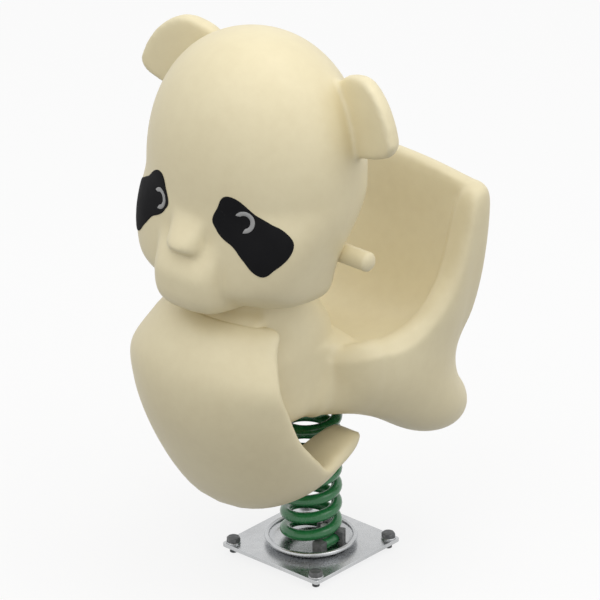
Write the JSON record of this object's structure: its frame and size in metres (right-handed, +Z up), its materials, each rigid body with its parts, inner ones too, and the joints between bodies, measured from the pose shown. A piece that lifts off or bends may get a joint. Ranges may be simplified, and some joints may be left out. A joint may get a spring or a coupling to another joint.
{
  "type": "spring rider",
  "caption": "Playground spring rider for a child: a hollow cream panda with a bucket seat, front shield, foot boards and hand grips on a green coil spring and a square base plate.",
  "frame": {"origin": "centre of the four anchor studs, on the underside of the base plate, below the spring's axis", "axes": "+Z up along the spring, the face looks towards -Y, +X is the animal's left"},
  "size_m": [0.5146, 0.54, 0.9362],
  "materials": {
    "cream_plastic": "semi-matt rotationally moulded polyethylene",
    "black_vinyl": "satin black film",
    "pale_vinyl": "pale grey gloss film",
    "green_coat": "glossy green powder coat",
    "galvanised_steel": "smooth galvanised, reflective",
    "dark_steel": "dark zinc-primed steel",
    "zinc_bolts": "bright zinc plated"
  },
  "bodies": {
    "base": {"base_plate": "galvanised_steel", "anchor_bolts": "dark_steel", "anchor_washers": "galvanised_steel", "spring_dish": "galvanised_steel", "lower_clamps": "dark_steel", "lower_clamp_bolts": "zinc_bolts", "lower_end_stop": "dark_steel"},
    "spring": {"coil_spring": "green_coat"},
    "rider": {"carrier_plate": "dark_steel", "upper_clamps": "dark_steel", "upper_clamp_bolts": "zinc_bolts", "upper_end_stop": "dark_steel", "carrier_bolts": "zinc_bolts", "carrier_nuts": "zinc_bolts", "torso_shell": "cream_plastic", "seat_shell": "cream_plastic", "front_shield": "cream_plastic", "shield_bolts": "zinc_bolts", "shield_nuts": "zinc_bolts", "head_shell": "cream_plastic", "neck_bolts": "zinc_bolts", "neck_nuts": "zinc_bolts", "left_ear": "cream_plastic", "right_ear": "cream_plastic", "left_eye_patch": "black_vinyl", "right_eye_patch": "black_vinyl", "left_eye_glint": "pale_vinyl", "right_eye_glint": "pale_vinyl", "handle_tube": "dark_steel", "left_grip": "cream_plastic", "right_grip": "cream_plastic"}
  },
  "joints": [
    {"name": "rock", "type": "hinge", "parent": "base", "child": "spring", "pos_m": [0, 0, 0.09], "axis": [1, 0, 0], "range_deg": [-18, 18], "stiffness_Nm_per_rad": 850, "springref_deg": -0.42, "deforming": ["coil_spring"]},
    {"name": "sway", "type": "hinge", "parent": "spring", "child": "rider", "pos_m": [0, 0, 0.21], "axis": [0, 1, 0], "range_deg": [-12, 12], "stiffness_Nm_per_rad": 850, "deforming": ["coil_spring"]}
  ]
}
